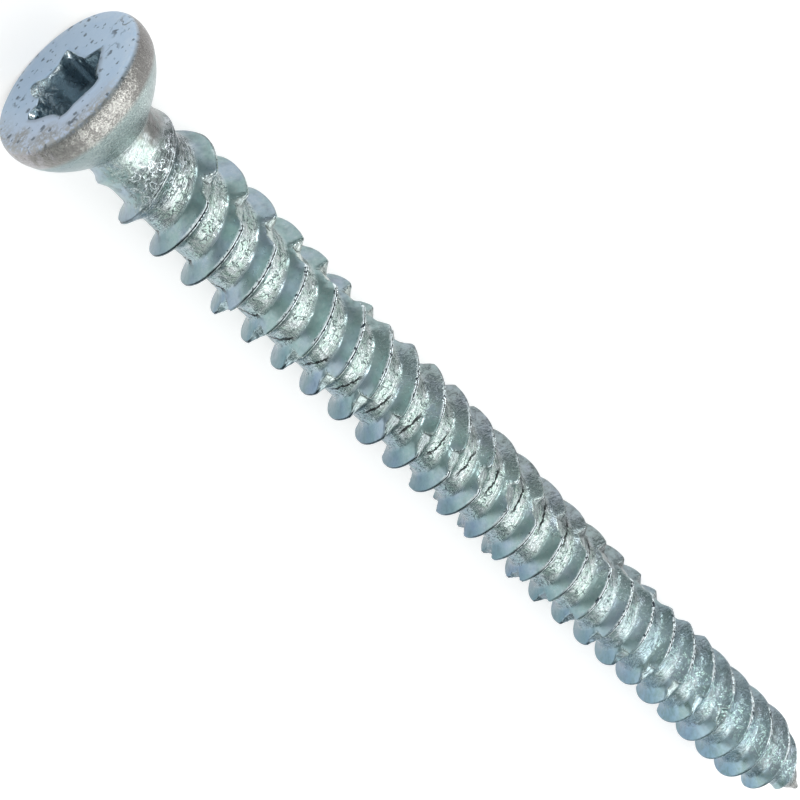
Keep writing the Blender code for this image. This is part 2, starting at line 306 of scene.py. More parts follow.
class Finish(bpy.types.PropertyGroup):
    """Colours of the zinc plating, and of the painted shade, highlights and glints laid over it."""

    face: colour_property("Face", "Plating on the flat face of the head", (0.33, 0.435, 0.56))
    face_pale: colour_property("Face, pale", "Paler clouds on the flat face", (0.365, 0.465, 0.575))
    face_lilac: colour_property("Face, lilac", "Towards one side of the flat face", (0.38, 0.43, 0.53))
    stain: colour_property("Stain", "Brownish stain at the edge of the face", (0.24, 0.25, 0.25))
    pit: colour_property("Pits", "Dark pits and scratches", (0.06, 0.08, 0.10))
    rim: colour_property("Rim", "Bright grain on the side of the head", (0.67, 0.67, 0.635))
    # Dark grain on the rim, also the colour of the painted shade and shadow on the rim and of the painted
    # shade on the neck's +Y side
    rim_dark_grain_and_shade: colour_property("Rim, dark", "Dark grain on the side of the head", (0.24, 0.235, 0.225))
    # The lilac tint of the painted shade lowest on the rim's -Y side
    rim_low_shade: colour_property("Rim, low", "Lilac plating low on the side of the head", (0.40, 0.39, 0.42))
    cone: colour_property("Underside", "Plating on the rounded underside of the head", (0.62, 0.72, 0.70))
    # Dark grain on the underside, also the colour of the painted shade towards its -Y and +Y sides
    cone_dark_grain_and_shade: colour_property("Underside, dark", "Dark grain on the underside", (0.34, 0.42, 0.42))
    root: colour_property("Roots", "Plating in the thread's roots", (0.54, 0.60, 0.60))
    root_blue: colour_property("Roots, blue", "Bluer plating towards the point", (0.445, 0.605, 0.675))
    root_mint: colour_property("Roots, mint", "Greener plating in the roots", (0.49, 0.62, 0.57))
    flank: colour_property("Flanks", "Plating on the thread's smooth sides", (0.355, 0.45, 0.53))
    flank_teal: colour_property("Flanks, teal", "Greener plating on the smooth sides", (0.305, 0.44, 0.435))
    # Rubbed plating on the crests, also the colour of the painted highlight on their lips and of the painted
    # glints round the recess's mouth
    crest: colour_property("Crest", "Rubbed plating on the crests", (0.86, 0.95, 0.98))
    # The tint of the painted shade on the +Y side
    plus_y_shade: colour_property("Dull side", "Tint of the duller plating on one side", (0.50, 0.465, 0.49))
    # The tint of the painted shade low on the -Y side
    minus_y_shade: colour_property("Dull side, low", "Tint low on the other side", (0.60, 0.68, 0.76))
    # The colour of the painted glints towards the point
    fleck_glint: colour_property("Flecks", "Bright minty flecks towards the point", (0.66, 0.90, 0.86))
    facet: colour_property("Notch facets", "Bare plating where the crest is cut down", (0.64, 0.74, 0.70))
    nib: colour_property("Nib", "Warmer plating on the small nib at the end", (0.25, 0.245, 0.235))
    fold: colour_property("Folds", "Dark folds beside the notches", (0.05, 0.06, 0.06))
    recess: colour_property("Recess", "Dull plating inside the drive recess", (0.52, 0.62, 0.68))


class StageLook(bpy.types.PropertyGroup):
    """Floor and light."""

    floor: colour_property("Floor", "Colour of the plain floor", (0.80, 0.80, 0.80), most=4.0)
    horizon: colour_property("Horizon", "Colour of the light from the sides", (0.22, 0.27, 0.26), most=4.0)
    sky: colour_property("Overhead", "Colour of the light from above", (0.57, 0.59, 0.59), most=4.0)
    softbox: colour_property("Softbox", "Colour of the wide softbox", (1.06, 1.06, 1.06), most=4.0)


def table_at(table, x):
    """Return the value that a table of (place, value) pairs gives at x."""
    if x <= table[0][0]:
        return table[0][1]
    for (x0, v0), (x1, v1) in zip(table, table[1:]):
        if x <= x1:
            return v0 + (v1 - v0) * (x - x0) / (x1 - x0)
    return table[-1][1]


def head_offset(s):
    """Return how far the head's section at s lies towards the row's +Y of the shank's axis."""
    return HEAD_OFFSET * min(1.0, max(0.0, NECK_END - s) / (NECK_END - HEAD_OFFSET_FADE))


def screw_point(s, radius, azimuth, offset=0.0):
    """Return a point in the screw's own frame."""
    return Vector((s, offset - radius * math.sin(azimuth), radius * math.cos(azimuth)))


def columns():
    """Return the azimuths of the screw's columns, in radians."""
    return [2.0 * math.pi * j / COLUMNS for j in range(COLUMNS)]


class Value:
    """A node's output, with the usual signs for the Math nodes."""

    def __init__(self, tree, socket):
        self.tree = tree
        self.socket = socket

    def __abs__(self):
        return self.tree.math("ABSOLUTE", self)


def sign(operation, swapped):
    """Return a method of Value that adds a Math node with two inputs."""
    def method(value, other):
        first, second = (other, value) if swapped else (value, other)
        return value.tree.math(operation, first, second)
    return method


for sign_name, operation in (("add", "ADD"), ("sub", "SUBTRACT"), ("mul", "MULTIPLY"),
                             ("truediv", "DIVIDE"), ("mod", "FLOORED_MODULO"), ("pow", "POWER")):
    setattr(Value, f"__{sign_name}__", sign(operation, False))
    setattr(Value, f"__r{sign_name}__", sign(operation, True))


class Tree:
    """A node tree with short ways to add, set and join its nodes."""

    def __init__(self, tree):
        self.tree = tree

    def add(self, kind, inputs=None, **settings):
        """Add a node, set its properties and feed its inputs."""
        node = self.tree.nodes.new(kind)
        for name, value in settings.items():
            setattr(node, name, value)
        for name, value in (inputs or {}).items():
            self.feed(node.inputs[name], value)
        return node

    def feed(self, socket, value):
        """Join a socket to another node's output, or set its own value."""
        if isinstance(value, Value):
            value = value.socket
        if isinstance(value, bpy.types.NodeSocket):
            self.tree.links.new(value, socket)
        else:
            socket.default_value = value

    def math(self, operation, *values):
        """Add a Math node and return its output."""
        node = self.add("ShaderNodeMath", dict(enumerate(values)), operation=operation)
        return Value(self, node.outputs[0])

    def most(self, first, second):
        """Return the larger of two values."""
        return self.math("MAXIMUM", first, second)

    def least(self, first, second):
        """Return the smaller of two values."""
        return self.math("MINIMUM", first, second)

    def spread(self, value, low, high, start=0.0, end=1.0, smooth=False):
        """Return start below low, end above high and a rise between them."""
        inputs = {"Value": value, "From Min": low, "From Max": high, "To Min": start, "To Max": end}
        kind = "SMOOTHSTEP" if smooth else "LINEAR"
        node = self.add("ShaderNodeMapRange", inputs, interpolation_type=kind)
        return Value(self, node.outputs["Result"])

    def fall(self, value, low, high):
        """Return 1 below low, 0 above high and a fall between them."""
        return self.spread(value, low, high, 1.0, 0.0)

    def table(self, value, table):
        """Return what a table of (place, value) pairs gives."""
        total = table[0][1]
        for (x0, v0), (x1, v1) in zip(table, table[1:]):
            total = total + self.spread(value, x0, x1, 0.0, v1 - v0)
        return total

    def noise(self, vector, scale, detail, roughness, seed):
        """Add a Noise Texture and return its value."""
        inputs = {"Vector": vector, "W": seed, "Scale": scale, "Detail": detail, "Roughness": roughness}
        return Value(self, self.add("ShaderNodeTexNoise", inputs, noise_dimensions="4D").outputs[0])

    def blend(self, share, first, second, kind="MIX"):
        """Mix two colours and return the result."""
        node = self.add("ShaderNodeMix", {"Factor": share}, data_type="RGBA", blend_type=kind)
        for name, colour in (("A", first), ("B", second)):
            socket = [s for s in node.inputs if s.name == name and s.type == "RGBA"][0]
            self.feed(socket, colour if isinstance(colour, Value) else (*colour, 1.0))
        return Value(self, [s for s in node.outputs if s.type == "RGBA"][0])

    def layers(self, colour, *layers):
        """Lay colours over a colour, each by its own share."""
        for share, over in layers:
            colour = self.blend(share, colour, over)
        return colour

    def mix(self, share, first, second):
        """Mix two numbers and return the result."""
        return Value(self, self.add("ShaderNodeMix", {0: share, 2: first, 3: second}).outputs[0])

    def split(self, vector):
        """Return the three parts of a vector."""
        return [Value(self, socket) for socket in self.add("ShaderNodeSeparateXYZ", {0: vector}).outputs]

    def join(self, *parts):
        """Return the vector that has these parts."""
        return Value(self, self.add("ShaderNodeCombineXYZ", dict(enumerate(parts))).outputs[0])

    def surface(self, shader):
        """End a material in this shader."""
        self.add("ShaderNodeOutputMaterial", {"Surface": shader.outputs[0]})


def notches(tree, s, degrees, floor):
    """Return the share of the thread's height that the notches leave, and a mask of worn crest before."""
    flat_end = NOTCH_DROP_DEG + NOTCH_FLAT_DEG
    ramp_end = NOTCH_DROP_DEG + NOTCH_RAMP_DEG
    profile = ((0.0, 1.0), (NOTCH_DROP_DEG, floor), (flat_end, floor + NOTCH_FLAT_RISE),
               (ramp_end, 1.0 + NOTCH_LIP), (ramp_end + NOTCH_LIP_DEG, 1.0))
    factor = 1.0
    worn = 0.0
    for phase, head_clear, tip_clear in NOTCH_LINES:
        turn = (degrees - (phase - NOTCH_DROP_DEG)) % 360.0
        cut = tree.table(turn, profile)
        started = tree.math("GREATER_THAN", s, head_clear)
        active = started * tree.math("LESS_THAN", s, LENGTH - tip_clear)
        factor = factor * (active * (cut - 1.0) + 1.0)
        before = tree.table((turn + NOTCH_WORN_DEG) % 360.0, NOTCH_WORN)
        worn = tree.most(worn, before * active)
    return factor, worn


# Inputs of the thread's nodes, and the size that each one takes
THREAD_INPUTS = {
    "Pitch": "pitch", "Crest radius": "crest_radius", "Crest radius at the head": "crest_head_radius",
    "Core radius": "core_radius", "Core radius at the point": "core_tip_radius",
    "Notch floor": "notch_floor", "Dent depth": "dent_depth", "Fold depth": "fold_depth", "Seed": "seed",
}


def thread_tree(neck_radius, pitch):
    """Return the geometry nodes that make the skin of the thread from the neck to the tip's nib."""
    group = bpy.data.node_groups.new("thread skin", "GeometryNodeTree")
    kinds = {name: "NodeSocketFloat" for name in THREAD_INPUTS}
    kinds.update({"Seed": "NodeSocketInt", "Finish": "NodeSocketMaterial"})
    for name, kind in kinds.items():
        group.interface.new_socket(name, in_out="INPUT", socket_type=kind)
    group.interface.new_socket("Geometry", in_out="OUTPUT", socket_type="NodeSocketGeometry")
    tree = Tree(group)
    source = {socket.name: Value(tree, socket) for socket in tree.add("NodeGroupInput").outputs}
    thread_end = LENGTH - THREAD_CLEAR
    lead = STARTS * pitch

    # A flat grid is wound round the axis: one way along the helix's rows, the other round the screw
    first = math.floor((NECK_END - lead) / pitch) - 1
    last = math.ceil((thread_end + lead) / pitch) + 1
    rows = (last - first) * ROWS_FOR_EACH_PITCH
    size = {"Size X": 1.0, "Size Y": 1.0, "Vertices X": rows + 1, "Vertices Y": COLUMNS + 1}
    grid = tree.add("GeometryNodeMeshGrid", size)
    grid_x, grid_y, _ = tree.split(tree.add("GeometryNodeInputPosition").outputs[0])
    row = tree.math("ROUND", (grid_x + 0.5) * rows)
    column = tree.math("ROUND", (grid_y + 0.5) * COLUMNS)
    turn = column / COLUMNS
    degrees = turn * 360.0
    azimuth = turn * (2.0 * math.pi)

    # Rows crowd towards each crest, where the form is sharpest
    in_pitches = row / ROWS_FOR_EACH_PITCH + first
    crest = tree.math("FLOOR", in_pitches + 0.5)
    off = in_pitches - crest
    away = tree.table(abs(off) * ROWS_FOR_EACH_PITCH, list(enumerate(ROW_PLACES)))
    away = away * (source["Pitch"] * 0.5)
    side = tree.math("SIGN", off)
    signed = away * side
    along = tree.math("FRACT", signed / source["Pitch"] + 1.0)
    s = crest * source["Pitch"] + signed
    s = s + (turn - CREST_PHASE_DEG / 360.0) * (source["Pitch"] * STARTS)
    s = tree.least(tree.most(s, NECK_END), thread_end)

    core = tree.table(s, (
        (NECK_END, neck_radius),
        (CORE_HEAD_AT, source["Core radius"]),
        (LENGTH - CORE_CONE_LENGTH, source["Core radius at the point"]),
        (LENGTH - CORE_CONE_MID[0], CORE_CONE_MID[1]),
        (thread_end, THREAD_CLEAR_R),
    ))
    crest_radius = tree.table(s, (
        (CREST_HEAD_AT, source["Crest radius at the head"]),
        (CREST_R_AT, source["Crest radius"]),
        *((LENGTH - back, radius or source["Crest radius"]) for back, radius in CREST_TAPER),
        (thread_end, THREAD_CLEAR_R),
    ))
    run_in = tree.table(s, [(NECK_END + back, share) for back, share in RUN_IN])
    height = (crest_radius - core) * run_in

    sine = tree.math("SINE", azimuth)
    cosine = tree.math("COSINE", azimuth)

    def pattern(radius, scale, detail, shift):
        """Return a pattern on the skin at this radius."""
        place = tree.join(s * (1.0 / MM), radius * sine / -MM, radius * cosine / MM)
        return tree.noise(place, scale, detail, 0.5, source["Seed"] + shift)

    # The crest is flat, with a seam along its middle, and the notches cut it down
    down = tree.spread(away, CREST_FLAT / 2.0, CREST_FLAT / 2.0 + FLANK_WIDTH)
    share = (1.0 - down) ** FLANK_POWER
    seam = tree.fall(away, 0.0, SEAM_WIDTH)
    seam = seam * tree.spread(pattern(core, *SEAM_PATTERN), 0.32, 0.52, 0.25, 1.0)
    share = share - seam * SEAM_DEPTH
    wobble = (pattern(core, *WOBBLE_PATTERN) - 0.5) * (2.0 * FOLD_WOBBLE_DEG)
    from_drift = degrees - s * (NOTCH_DRIFT_DEG / source["Pitch"])
    cut, worn = notches(tree, s, from_drift, source["Notch floor"])
    from_middle = from_drift - NOTCH_LINES[FOLD_LINE][0] - tree.table(s, FOLD_MIDDLE)
    from_fold = from_middle - (along - FOLD_PLACE) * tree.table(s, FOLD_SLANT) - wobble
    fold_cosine = tree.math("COSINE", from_fold * math.radians(1.0))
    fold_sine = tree.math("SINE", from_fold * math.radians(1.0)) * tree.table(s, FOLD_NARROWS)
    reached = tree.math("COSINE", from_middle * math.radians(1.0))
    reached = tree.spread(reached, math.cos(math.radians(FOLD_REACH_DEG)),
                          math.cos(math.radians(0.6 * FOLD_REACH_DEG)))
    whole = share
    share = tree.least(share * tree.most(cut, 1.0), cut)
    radius = core + height * share

    # Dents and folds lie in the roots, and the flanks stay nearly smooth
    rooted = tree.fall(share, 0.0, 0.32)
    facet = tree.spread(whole - share, 0.02, 0.15)
    ends = tree.spread(s, NECK_END, NECK_END + 0.5 * MM)
    ends = ends * tree.fall(s, thread_end - 0.5 * MM, thread_end)
    dents = sum(pattern(radius, *dent) - 0.5 for dent in DENT_PATTERNS)
    dents = dents * tree.most(tree.most(rooted, facet), 0.15) * (source["Dent depth"] * 2.0)
    folds = tree.fall(abs(fold_sine), 0.0, math.sin(math.radians(FOLD_HALF_DEG)))
    fold_end = LENGTH - NOTCH_LINES[FOLD_LINE][2]
    folded = tree.spread(s, FOLD_FROM, FOLD_FROM + MM) * tree.fall(s, fold_end, fold_end + MM)
    folded = folded * tree.spread(fold_cosine, 0.0, 0.3) * reached * tree.fall(share, 0.1, 0.25)
    dents = dents - folds * folded * source["Fold depth"]
    radius = radius + dents * ends

    bow = tree.math("SINE", tree.spread(s, NECK_END, BOW_END, 0.0, math.pi)) * BOW
    skin_place = tree.join(s, radius * sine * -1.0 - bow, radius * cosine)

    head_side = 1.0 - tree.most(side, 0.0)
    smooth = head_side * tree.spread(share * run_in, 0.07, 0.16)
    smooth = smooth * (1.0 - facet) * tree.spread(run_in, 0.34, 0.6)
    attributes = {"smooth": smooth, "away": away / MM, "facet": facet, "fold": folded,
                  "crest": (1.0 - tree.most(facet, worn)) * run_in,
                  "cut_edge": head_side * (whole - cut), "fold_sine": fold_sine}
    steps = [("StoreNamedAttribute", {"Name": name, "Value": value}) for name, value in attributes.items()]
    steps += [("SetPosition", {"Position": skin_place}), ("MergeByDistance", {"Distance": MERGE}),
              ("RealizeInstances", {}), ("SetMaterial", {"Material": source["Finish"]})]
    skin = grid.outputs["Mesh"]
    for kind, inputs in steps:
        skin = tree.add("GeometryNode" + kind, {"Geometry": skin, **inputs}).outputs["Geometry"]
    tree.add("NodeGroupOutput", {"Geometry": skin})
    return group


def thread_mesh(sizes, neck_radius, material):
    """Return the thread's skin as a plain mesh in the screw's own frame."""
    carrier = bpy.data.objects.new("thread_carrier", bpy.data.meshes.new("thread_carrier"))
    bpy.context.collection.objects.link(carrier)
    modifier = carrier.modifiers.new("thread skin", "NODES")
    modifier.node_group = thread_tree(neck_radius, sizes.pitch)
    for item in modifier.node_group.interface.items_tree:
        if item.name in THREAD_INPUTS:
            modifier[item.identifier] = getattr(sizes, THREAD_INPUTS[item.name])
        elif item.name == "Finish":
            modifier[item.identifier] = material
    graph = bpy.context.evaluated_depsgraph_get()
    mesh = bpy.data.meshes.new_from_object(carrier.evaluated_get(graph))
    bpy.data.objects.remove(carrier)
    return mesh


def wall_radius(azimuth):
    """Return the radius of the recess's wall, with round lobes and round valleys."""
    half = math.pi / LOBES
    turn = (azimuth - math.radians(LOBE_FIRST_DEG) + half) % (2.0 * half) - half
    lobe_centre = LOBE_TIP_R - LOBE_ARC_R
    radius = LOBE_TIP_R
    sine = lobe_centre * math.sin(abs(turn))
    if sine < LOBE_ARC_R:
        radius = lobe_centre * math.cos(turn) + math.sqrt(LOBE_ARC_R ** 2 - sine ** 2)
    valley_centre = LOBE_VALLEY_R + VALLEY_ARC_R
    away = half - abs(turn)
    sine = valley_centre * math.sin(away)
    if sine < VALLEY_ARC_R:
        on_valley = valley_centre * math.cos(away) - math.sqrt(VALLEY_ARC_R ** 2 - sine ** 2)
        radius = min(radius, on_valley)
    return radius


def head_rings(sizes):
    """Return (distance, radius, share of the edge's wear) for the head's rings, from face to neck."""
    rings = []
    for k in range(RIM_STEPS + 1):
        angle = math.pi / 2.0 * k / RIM_STEPS
        radius = sizes.rim_radius - sizes.face_edge * (1.0 - math.sin(angle))
        rings.append((RIM_AT * (1.0 - math.cos(angle)), radius, 1.0 - math.sin(angle)))
    for k in range(1, UNDERSIDE_STEPS + 1):
        t = k / UNDERSIDE_STEPS
        wider = (sizes.rim_radius - sizes.neck_radius) * (1.0 - t ** UNDERSIDE_POWER)
        radius = sizes.neck_radius + wider
        rings.append((RIM_AT + (NECK_END - RIM_AT) * t, radius, 0.0))
    return rings


def add_ring(bm, points):
    """Add a closed ring of vertices and return it."""
    return [bm.verts.new(point) for point in points]


def bridge(bm, first, second):
    """Join two rings by quads."""
    for a, b, c, d in zip(first, [*first[1:], first[0]], [*second[1:], second[0]], second):
        bm.faces.new((a, b, c, d))


def fan(bm, ring, point):
    """Close a ring with triangles to one vertex."""
    apex = bm.verts.new(point)
    for vert, other in zip(ring, [*ring[1:], ring[0]]):
        bm.faces.new((vert, other, apex))


def add_head(bm, sizes):
    """Add the head from the rim of its face to the neck, and return the ring at the face."""
    rings = []
    for s, plain, worn in head_rings(sizes):
        points = []
        for azimuth in columns():
            radius = plain - EDGE_WEAR * worn * max(0.0, math.cos(azimuth)) ** 2
            point = screw_point(s, radius, azimuth, head_offset(s))
            on_side = min(1.0, s / HEAD_GRAIN_FADE[0])
            on_side *= min(1.0, max(0.0, (NECK_END - s) / HEAD_GRAIN_FADE[1]))
            grain = on_side * sum(height * noise.noise(point / size) for height, size in HEAD_GRAINS)
            points.append(screw_point(s, radius + grain, azimuth, head_offset(s)))
        rings.append(add_ring(bm, points))
    for first, second in zip(rings, rings[1:]):
        bridge(bm, first, second)
    return rings[0]


def add_recess(bm, rim):
    """Add the flat face inside the rim, the recess and its floor."""
    rings = []
    begun, faded = MOUTH_RAGGED_DEPTHS
    for depth, blend in RECESS_RINGS:
        points = []
        for azimuth in columns():
            mouth = LOBE_TIP_R * table_at(MOUTH_OUTLINE, math.degrees(azimuth))
            wall = wall_radius(azimuth) * (1.0 - (1.0 - RECESS_TAPER) * depth * MM / RECESS_FLOOR)
            point = screw_point(depth * MM, mouth + (wall - mouth) * blend, azimuth)
            ragged = MOUTH_RAGGED * min(1.0, depth / begun) * max(0.0, 1.0 - depth / faded)
            burr = ragged * noise.noise(point / MOUTH_RAGGED_SIZE)
            points.append(screw_point(point.x, mouth + (wall - mouth) * blend + burr, azimuth))
        rings.append(add_ring(bm, points))
    for share in FLOOR_RINGS:
        depth = RECESS_FLOOR + (RECESS_DEPTH - RECESS_FLOOR) * (1.0 - share)
        points = [screw_point(depth, wall_radius(a) * RECESS_TAPER * share, a) for a in columns()]
        rings.append(add_ring(bm, points))
    inside = bm.faces.layers.int.get("inside") or bm.faces.layers.int.new("inside")
    before = set(bm.faces)
    for first, second in zip(rings, rings[1:]):
        bridge(bm, first, second)
    fan(bm, rings[-1], screw_point(RECESS_DEPTH, 0.0, 0.0))
    for face in bm.faces:
        if face not in before:
            face[inside] = 1
    inner = rings[0]
    for k in range(1, FACE_RINGS):
        points = [a.co.lerp(b.co, k / FACE_RINGS) for a, b in zip(rings[0], rim)]
        ring = add_ring(bm, points)
        bridge(bm, inner, ring)
        inner = ring
    bridge(bm, inner, rim)


def add_nib(bm):
    """Add the small nib that ends the point."""
    profile = [(THREAD_CLEAR, THREAD_CLEAR_R)]
    profile += [(back * MM, radius * MM) for back, radius in NIB_PROFILE]
    rings = [add_ring(bm, [screw_point(LENGTH - back, radius, a) for a in columns()])
             for back, radius in profile]
    for first, second in zip(rings, rings[1:]):
        bridge(bm, first, second)
    fan(bm, rings[-1], screw_point(LENGTH, 0.0, 0.0))


def screw_coordinates(tree):
    """Return the position in the screw's own frame, in millimetres, from the Object coordinates."""
    inverse = PLACE.inverted()
    inputs = {"Vector": tree.add("ShaderNodeTexCoord").outputs["Object"],
              "Location": inverse.translation / MM, "Rotation": inverse.to_euler(),
              "Scale": (1.0 / MM, 1.0 / MM, 1.0 / MM)}
    return tree.add("ShaderNodeMapping", inputs, vector_type="POINT").outputs[0]


def new_material(name):
    """Return a new material and its empty tree."""
    material = bpy.data.materials.new(name)
    material.use_nodes = True
    material.node_tree.nodes.clear()
    return material, Tree(material.node_tree)


def pits(tree, place, scale, small, large):
    """Return a mask of round pits of many sizes on the flat face."""
    cells = tree.add("ShaderNodeTexVoronoi", {"Vector": place, "Scale": scale}, voronoi_dimensions="2D")
    pick = tree.add("ShaderNodeSeparateColor", {0: cells.outputs["Color"]})
    size = tree.spread(pick.outputs[0], 0.30, 1.0, small, large)
    return tree.spread(size - cells.outputs["Distance"], 0.0, 0.04)


def patch(tree, across, up, centre, radius):
    """Return a mask of a soft round patch on the flat face."""
    away = tree.math("SQRT", abs(across - centre[0]) ** 2.0 + abs(up - centre[1]) ** 2.0)
    return tree.fall(away, radius * 0.5, radius)


def finish_places(tree):
    """Return what the finish reads at each place: coordinates, the skin's attributes and the patterns.

    Where a mask reads s, y, z or away, the pair of numbers it rises between is in millimetres. Patterns run
    from 0 to 1, and the other attributes are shares.
    """
    place = screw_coordinates(tree)
    s, y, z = tree.split(place)
    at = {name: tree.noise(place, *pattern) for name, pattern in PATTERNS.items()}
    for name in ("smooth", "away", "crest", "facet", "cut_edge", "fold", "fold_sine", "recess"):
        at[name] = Value(tree, tree.add("ShaderNodeAttribute", attribute_name=name).outputs["Fac"])
    away_scale, across_scale, along_scale = STREAK_SCALES
    helical = tree.join(at["away"] * away_scale, y * across_scale, z * across_scale)
    at["streaks"] = tree.noise(helical, 1.0, 3.0, 0.6, s * along_scale)
    # From -1 at the row's -Y to 1 at +Y, and the same with a ragged edge
    side_on = y / tree.math("SQRT", y * y + z * z)
    uneven = side_on + tree.spread(at["mottle"], 0.3, 0.7, -0.25, 0.25)
    return SimpleNamespace(s=s, y=y, z=z, side_on=side_on, uneven=uneven,
                           on_side=tree.spread(s, *SIDE_FROM), on_thread=tree.spread(s, *THREAD_FROM), **at)


def face_colour(tree, at, finish):
    """Return the colour of the flat face: dark pits, squiggly scratches and a stain towards the rim."""
    across, up = at.y * -1.0, at.z
    radius = tree.math("SQRT", abs(across) ** 2.0 + abs(up) ** 2.0)
    lean = tree.spread(up * 0.9 + across, 1.0, 5.5)
    edge = tree.spread(radius, 3.7, 4.9) * tree.spread(lean, 0.0, 0.7)
    for centre, size in FACE_STAINS:
        edge = tree.most(edge, patch(tree, across, up, centre, size))
    scratched = 0.0
    for centre, size in FACE_SCRATCHES:
        scratched = tree.most(scratched, patch(tree, across, up, centre, size))
    line = abs(tree.noise(tree.join(across, up), *SCRATCH_PATTERN) - 0.5)
    worn = tree.spread(radius, 4.55, 4.95) * tree.spread(at.specks, 0.4, 0.6)
    jagged = tree.join(across + (at.grain - 0.5) * 0.45, up + (at.specks - 0.5) * 0.45)
    speckle = tree.most(pits(tree, jagged, 1.1, -0.02, 0.22), pits(tree, jagged, 2.4, -0.42, 0.25))
    return tree.layers(
        tree.blend(tree.spread(at.clouds, 0.40, 0.62), finish.face, finish.face_pale),
        (lean * 0.75, finish.face_lilac),
        (tree.spread(at.specks, 0.35, 0.65, 0.0, 0.35), finish.face_pale),
        (tree.spread(at.specks, 0.42, 0.52) * edge * 0.95, finish.stain),
        (tree.fall(line, 0.018, 0.05) * scratched * 0.85, finish.pit),
        (worn * 0.15, finish.rim),
        (speckle * 0.8, finish.pit))


def head_finish(tree, at, finish):
    """Return the colour of the head: its flat face, its grainy side and its greenish underside, with painted
    shade towards the -Y and +Y sides.
    """
    # Painted shade on the rim towards both sides, with a painted shadow and a lilac painted shade low on its
    # -Y side
    shaded = tree.spread(abs(at.side_on + 0.1), 0.42, 0.75, 0.0, 0.17)
    bright = at.grain + tree.spread(at.mottle, 0.3, 0.7, -0.1, 0.1) - shaded
    shadow = tree.table(at.uneven, ((-0.86, 0.0), (-0.70, 0.8), (-0.45, 0.7), (-0.15, 0.0)))
    rim = tree.layers(
        tree.blend(tree.spread(bright, 0.39, 0.60), finish.rim_dark_grain_and_shade, finish.rim),
        (shadow, finish.rim_dark_grain_and_shade),
        (tree.spread(at.uneven, -0.95, -0.75, 0.7, 0.0), finish.rim_low_shade))
    # Painted shade on the underside towards its -Y and +Y sides
    cone = tree.layers(
        tree.blend(tree.spread(at.grain, 0.40, 0.62), finish.cone_dark_grain_and_shade, finish.cone),
        (tree.fall(at.uneven, -0.65, -0.15), finish.cone_dark_grain_and_shade),
        (tree.spread(at.uneven, 0.35, 0.75, 0.0, 0.6), finish.cone_dark_grain_and_shade))
    side = tree.blend(tree.spread(at.s, *UNDERSIDE_FROM), rim, cone)
    return tree.blend(at.on_side, face_colour(tree, at, finish), side)


def root_finish(tree, at, finish):
    """Return the colour of the thread's roots, pale and flaky, with painted shade on the neck and on the +Y
    side towards the point, and a mask of their dark cracks.
    """
    flakes = tree.fall(abs(at.flakes - 0.5), 0.008, 0.03) * tree.spread(at.mottle, 0.46, 0.56)
    creases = tree.fall(abs(at.streaks - 0.5), 0.006, 0.03) * tree.spread(at.s, 9.0, 12.0, 1.0, 0.15)
    cracked = tree.most(tree.most(flakes, creases), tree.spread(at.specks, 0.62, 0.67))
    cracked = cracked * tree.spread(at.s, 6.2, 6.8) * (1.0 - at.facet)
    bluer = tree.spread(at.s, 56.0, 68.0, 0.0, 0.85) * tree.spread(at.clouds, 0.42, 0.56, 0.3, 1.0)
    # Painted shade on the +Y side towards the point
    darker = tree.spread(at.s, 56.0, 66.0, 0.0, 0.4) * tree.spread(at.side_on, -0.2, 0.25)
    bare = tree.spread(at.cut_edge, 0.0, 0.03) * tree.fall(at.cut_edge, 0.13, 0.22)
    bare = tree.most(bare, at.facet * tree.table(at.s, BARE_SHARE))
    colour = tree.layers(
        tree.blend(tree.spread(at.mottle, 0.40, 0.62), finish.root, finish.root_mint),
        (cracked * 0.75, finish.pit),
        (bluer, finish.root_blue),
        # Painted shade round the neck's highlight and on the +Y side towards the point, and darker towards
        # the point
        (tree.most(darker, tree.table(at.s, ENDS_DARKER)), finish.pit),
        (at.facet * tree.spread(at.s, 56.0, 66.0, 0.6, 0.15), finish.pit),
        (tree.spread(at.specks, 0.38, 0.54, 0.35, 1.0) * bare, finish.facet))
    return colour, cracked


def flank_finish(tree, at, finish):
    """Return the colour of the thread's smooth sides, blue to teal."""
    clouded = tree.spread(at.s, 58.0, 70.0) * tree.spread(at.mottle, 0.44, 0.58)
    return tree.layers(
        tree.blend(tree.spread(at.clouds, 0.38, 0.55), finish.flank, finish.flank_teal),
        (tree.spread(at.specks, 0.42, 0.70, 0.0, 0.35), finish.root),
        (tree.spread(at.mottle, 0.50, 0.75, 0.0, 0.30), finish.pit),
        (tree.spread(at.s, 14.0, 24.0, 0.12, 0.0), finish.pit),
        (clouded * 0.8, finish.root_blue))


def evenness(tree, at):
    """Return masks of the smooth plating: everywhere, and low on the -Y side."""
    ragged = at.uneven + tree.spread(at.specks, 0.3, 0.7, -0.3, 0.3)
    low = tree.most(tree.fall(ragged, -0.8, -0.35) * tree.fall(at.s, 8.6, 9.4),
                    tree.fall(ragged, -1.0, -0.6) * tree.spread(at.s, 58.0, 66.0))
    knobbly = tree.spread(at.s, 60.0, 76.0, 0.0, 1.3) * at.mottle * tree.spread(at.side_on, -0.3, 0.0)
    coarse = tree.table(at.s, COARSE_TOP) * tree.spread(at.uneven, 0.2, 0.6)
    knobbly = tree.most(knobbly, coarse * at.mottle)
    return tree.most(at.smooth * (1.0 - knobbly), low), low


